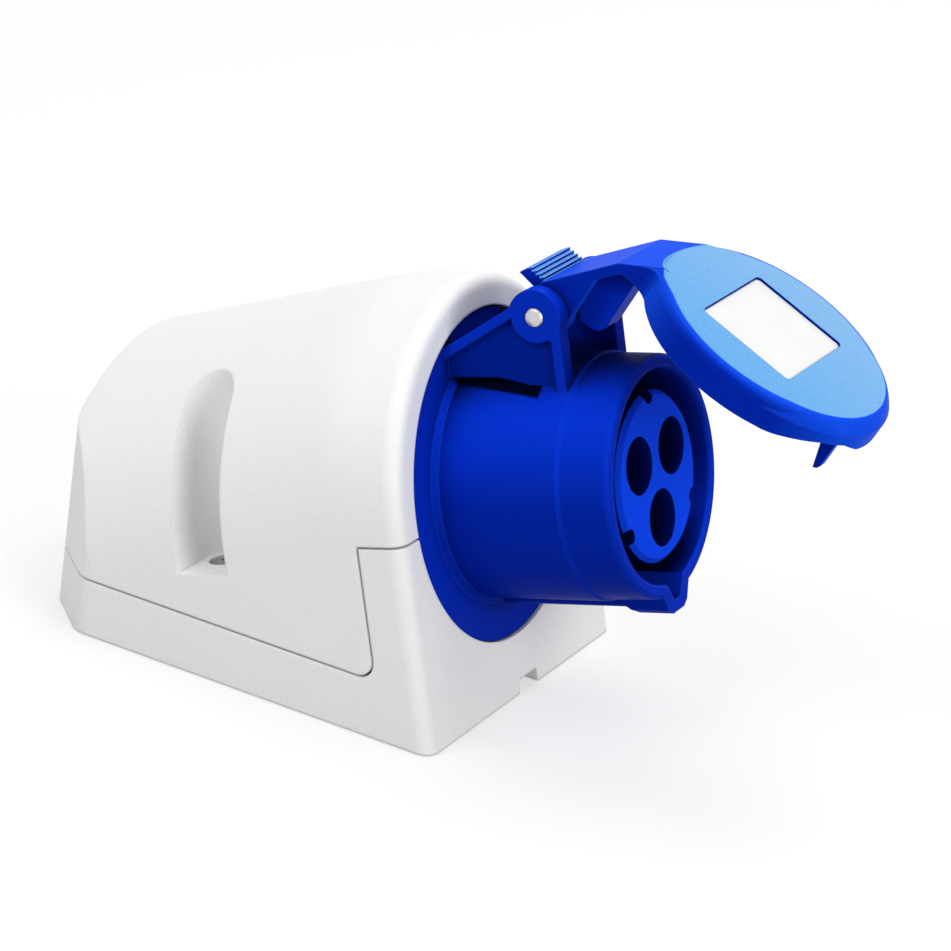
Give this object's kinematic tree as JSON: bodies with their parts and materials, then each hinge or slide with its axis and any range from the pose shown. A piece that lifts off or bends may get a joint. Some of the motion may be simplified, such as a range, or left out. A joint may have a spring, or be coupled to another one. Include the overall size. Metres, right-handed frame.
{
  "type": "outdoor power socket",
  "caption": "Surface-mounted outdoor power socket: a pale arched wall housing with a blue pin-and-sleeve socket that leans up from the wall under a sprung, hinged blue lid.",
  "frame": {"origin": "centre of the wall face of the housing, in the plane that meets the wall", "axes": "+X along the housing towards the socket's mouth, +Z out of the wall, +Y across"},
  "size_m": [0.1735, 0.0846, 0.1045],
  "materials": {
    "housing_plastic": "fine matt texture",
    "blue_plastic": "satin",
    "lid_plastic": "satin",
    "label": "smooth",
    "steel": "plated",
    "brass": "machined",
    "rubber": "matt"
  },
  "bodies": {
    "housing": {"wall_base": "housing_plastic", "housing_cover": "housing_plastic", "housing_seal": "rubber", "cover_screws": "steel", "screw_seals": "rubber", "boss_inserts": "brass", "entry_grommet": "rubber", "socket_body": "blue_plastic", "flange_gasket": "rubber", "contact_insert": "blue_plastic", "insert_retainer": "blue_plastic", "insert_screws": "steel", "line_contact": "brass", "neutral_contact": "brass", "earth_contact": "brass", "contact_rings": "steel", "terminal_screws": "steel", "hinge_pin": "steel", "hinge_spring": "steel"},
    "lid": {"lid": "lid_plastic", "lid_seal": "rubber", "label_plate": "label"}
  },
  "joints": [
    {"name": "lid_hinge", "type": "hinge", "parent": "housing", "child": "lid", "pos_m": [0.04487, 0, 0.08736], "axis": [0, -1, 0], "range_deg": [-49.5, 65.5], "deforming": ["hinge_spring"]}
  ]
}
